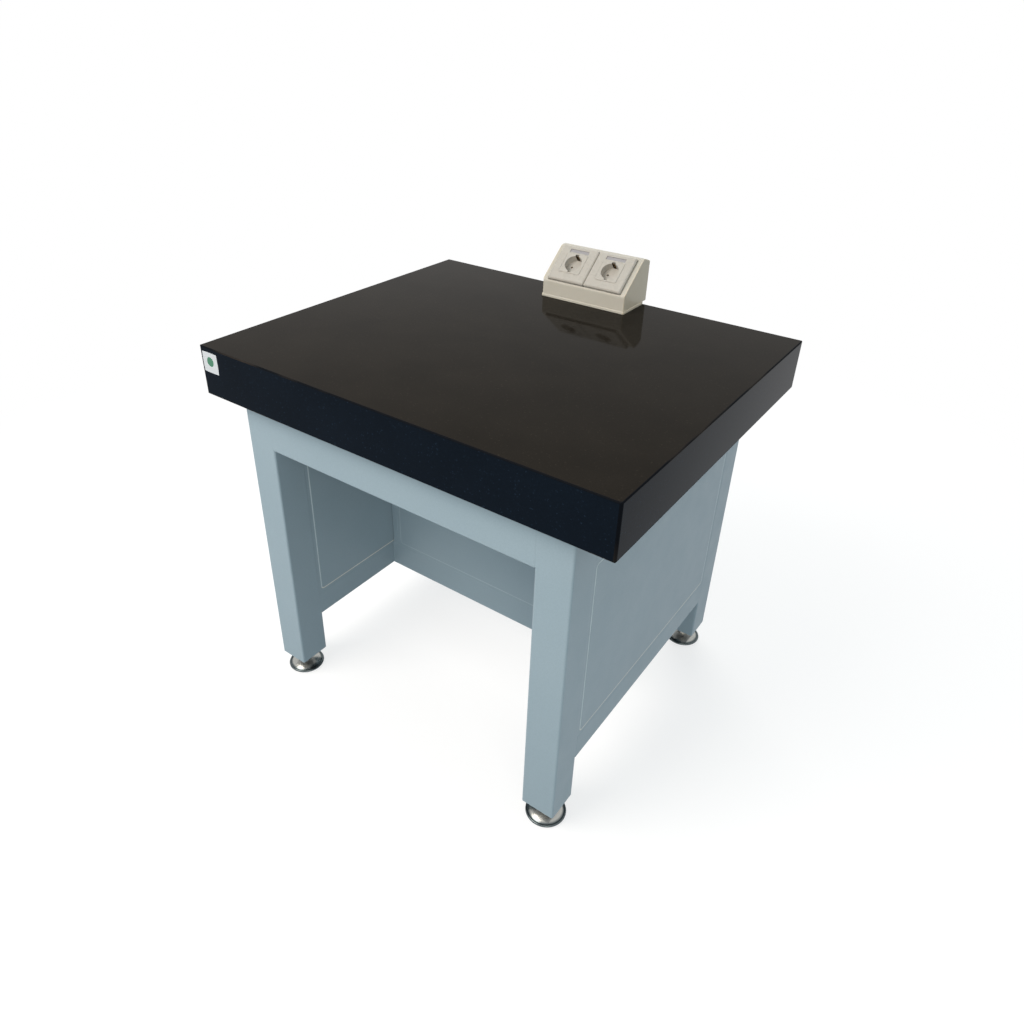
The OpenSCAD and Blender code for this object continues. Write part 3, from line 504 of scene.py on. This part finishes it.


# Socket covers and inserts: smoother mouldings of a lighter shade, set into the slope side by
# side, each with a round recess for the plug. The slots in the recess's wall, where the earth
# clips stand, are painted near black as painted shade.
pale_look = (0.475, 0.444, 0.396), (0.493, 0.462, 0.414), 0.24, 0.32, 2200.0, 0.10
dress(moulded("pale_cover_plastic", *pale_look), "left_cover_plate", "right_cover_plate")
slot_half_w, slot_reach, slot_depth = 4.2 * mm, 19.2 * mm, 4 * mm
for side in ("left", "right"):
    insert_low, insert_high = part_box(f"{side}_socket_insert")
    insert_mid = (insert_low + insert_high) / 2
    slope = math.atan2(insert_high.z - insert_low.z, insert_high.y - insert_low.y)
    insert_plastic = moulded(f"{side}_insert_plastic", *pale_look)
    tree = insert_plastic.node_tree
    shader = tree.nodes["Principled BSDF"]
    plain_tone = shader.inputs["Base Color"].links[0].from_socket
    place, x, y, z = where(tree)
    off_y = maths(tree, "SUBTRACT", y, insert_mid.y)
    off_z = maths(tree, "SUBTRACT", z, insert_mid.z)
    up = maths(tree, "ADD", maths(tree, "MULTIPLY", off_y, math.cos(slope)),
               maths(tree, "MULTIPLY", off_z, math.sin(slope)))
    aside = maths(tree, "ABSOLUTE", maths(tree, "SUBTRACT", x, insert_mid.x))
    # Inside the earth-clip slot the insert is painted near black: painted shade.
    in_slot = maths(tree, "MULTIPLY", maths(tree, "LESS_THAN", aside, slot_half_w),
                    maths(tree, "GREATER_THAN", up, slot_reach))
    under = maths(tree, "LESS_THAN", up, slot_reach + slot_depth)
    feed(tree, shader, Base_Color=mixed(tree, maths(tree, "MULTIPLY", in_slot, under), plain_tone,
                                        (0.030, 0.020, 0.010, 1)))
    dress(insert_plastic, f"{side}_socket_insert")
dress(moulded("grey_plug_plastic", (0.42, 0.42, 0.40), (0.46, 0.46, 0.44), 0.5, 0.6, 900.0, 0.3),
      "wall_plugs")


# Contacts: stamped and drawn brass, dulled by air and by plugs sliding past. The earth clips keep
# brass's brown hue but are painted near black: painted shade in their slots.
for name, dark, light, smooth_rough, pieces in (
        ("dull_brass", (0.60, 0.40, 0.16), (0.78, 0.58, 0.28), 0.25, "contact_tubes"),
        ("brass_painted_shade", (0.10, 0.060, 0.022), (0.22, 0.135, 0.050), 0.30, "earth_clips")):
    brass, tree, shader = new_finish(name, Metallic=1.0)
    tarnish = cloud(tree, where(tree)[0], 260.0, 5.0, 0.6)
    rough = ramp(tree, tarnish, [(0.3, 0.45), (0.7, smooth_rough)])
    tone = ramp(tree, tarnish, [(0.3, dark), (0.7, light)])
    feed(tree, shader, Base_Color=tone, Roughness=rough)
    dress(brass, pieces)


# Label strips: a blank pale card under a clear acrylic window above each socket.
card, tree, shader = new_finish("blank_label_card", Roughness=0.8)
place = where(tree)[0]
fibres = cloud(tree, place, 1800.0, 4.0, 0.7)
tone = ramp(tree, fibres, [(0.3, (0.46, 0.44, 0.46)), (0.7, (0.52, 0.50, 0.52))])
bump = node(tree, "Bump", {"Strength": 0.2, "Distance": 0.05 * mm, "Height": fibres})
feed(tree, shader, Base_Color=tone, Normal=bump)
dress(card, "label_cards")
window, tree, shader = new_finish("clear_acrylic", Alpha=0.3, IOR=1.49)
place = where(tree)[0]
tone = ramp(tree, cloud(tree, place, 30.0), [(0.3, (0.44, 0.42, 0.43)), (0.7, (0.48, 0.46, 0.47))])
rough = ramp(tree, cloud(tree, place, 400.0, 4.0), [(0.3, 0.05), (0.7, 0.14)])
feed(tree, shader, Base_Color=tone, Roughness=rough)
dress(window, "label_windows")
